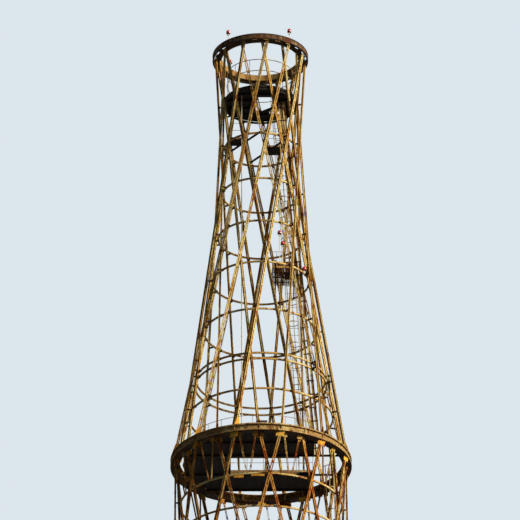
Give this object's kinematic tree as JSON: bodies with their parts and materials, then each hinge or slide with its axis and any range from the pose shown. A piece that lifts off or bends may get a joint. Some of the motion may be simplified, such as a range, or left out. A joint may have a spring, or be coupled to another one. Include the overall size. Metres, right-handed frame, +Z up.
{
  "type": "radio mast, 1:10 scale model",
  "caption": "Open steel radio mast of stacked hyperboloid lattice tiers with rings, hoops, decks, a ladder and warning lamps, as a 1:10 model.",
  "frame": {"origin": "ground level on the mast's axis", "axes": "+Z up along the mast's axis; the side seen first faces -Y"},
  "size_m": [4.158, 4.158, 15.1099],
  "materials": {
    "bar_paint": "weathered cream paint with rust",
    "hoop_paint": "weathered cream paint with rust",
    "ring_paint": "weathered cream paint with rust",
    "deck_steel": "dull dark paint",
    "ladder_paint": "weathered paint",
    "lamp_post_steel": "dull dark paint",
    "lamp_glass": "red glass",
    "concrete": "rough concrete"
  },
  "bodies": {
    "root": {"tier_1_right_bars": "bar_paint", "tier_1_left_bars": "bar_paint", "tier_1_hoops": "hoop_paint", "tier_2_right_bars": "bar_paint", "tier_2_left_bars": "bar_paint", "tier_2_hoops": "hoop_paint", "tier_3_right_bars": "bar_paint", "tier_3_left_bars": "bar_paint", "tier_3_hoops": "hoop_paint", "tier_4_right_bars": "bar_paint", "tier_4_left_bars": "bar_paint", "tier_4_hoops": "hoop_paint", "tier_5_right_bars": "bar_paint", "tier_5_left_bars": "bar_paint", "tier_5_hoops": "hoop_paint", "tier_6_right_bars": "bar_paint", "tier_6_left_bars": "bar_paint", "tier_6_hoops": "hoop_paint", "footing": "concrete", "base_ring": "ring_paint", "ring_1": "ring_paint", "ring_2": "ring_paint", "ring_3": "ring_paint", "ring_4": "ring_paint", "ring_5_flanges": "ring_paint", "ring_5_web": "ring_paint", "top_ring_flanges": "ring_paint", "top_ring_web": "ring_paint", "top_ring_band": "ring_paint", "top_ring_ties": "ring_paint", "fan_braces": "bar_paint", "main_joists": "deck_steel", "main_deck": "deck_steel", "rest_joists": "deck_steel", "rest_deck": "deck_steel", "landing_joists": "deck_steel", "landing_deck": "deck_steel", "upper_joists": "deck_steel", "upper_deck": "deck_steel", "ring_landing_beams": "deck_steel", "ring_landing_plates": "deck_steel", "ladder_rails": "ladder_paint", "ladder_rungs": "ladder_paint", "tier_ladder_rails": "ladder_paint", "cable_tray": "ladder_paint", "conduit": "ladder_paint", "lamp_posts": "lamp_post_steel", "lamps": "lamp_glass"}
  },
  "joints": []
}
